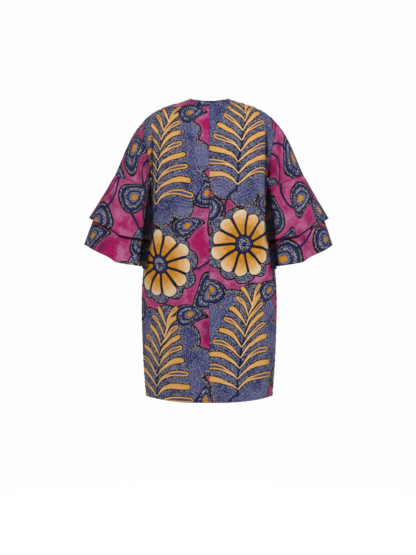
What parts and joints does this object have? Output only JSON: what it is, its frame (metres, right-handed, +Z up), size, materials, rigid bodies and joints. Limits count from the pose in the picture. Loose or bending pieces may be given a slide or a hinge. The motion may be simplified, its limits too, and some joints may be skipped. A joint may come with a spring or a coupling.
{
  "type": "reversible kimono jacket",
  "caption": "Long open-fronted, collarless kimono jacket of printed cotton in its worn form, with dropped sleeves that end above the wrist in tiered flounces.",
  "frame": {"origin": "midway between the two side-neck points on the shoulder line, where the wearer's shoulders carry the jacket", "axes": "+Z up, -Y out of the fronts, +X to the wearer's left"},
  "size_m": [0.8471, 0.3129, 1.0189],
  "materials": {
    "printed_cotton": "matt printed plain-weave cotton, slightly crisp, magenta, slate blue, navy and gold",
    "plain_side": "matt plain-weave cotton, indigo, the reversible cloth's second side",
    "sewing_thread": "matt navy polyester thread"
  },
  "bodies": {
    "root": {"back_left": "printed_cotton", "front_left": "printed_cotton", "sleeve_left": "printed_cotton", "upper_flounce_left": "printed_cotton", "lower_flounce_left": "printed_cotton", "back_right": "printed_cotton", "front_right": "printed_cotton", "sleeve_right": "printed_cotton", "upper_flounce_right": "printed_cotton", "lower_flounce_right": "printed_cotton"}
  },
  "joints": []
}
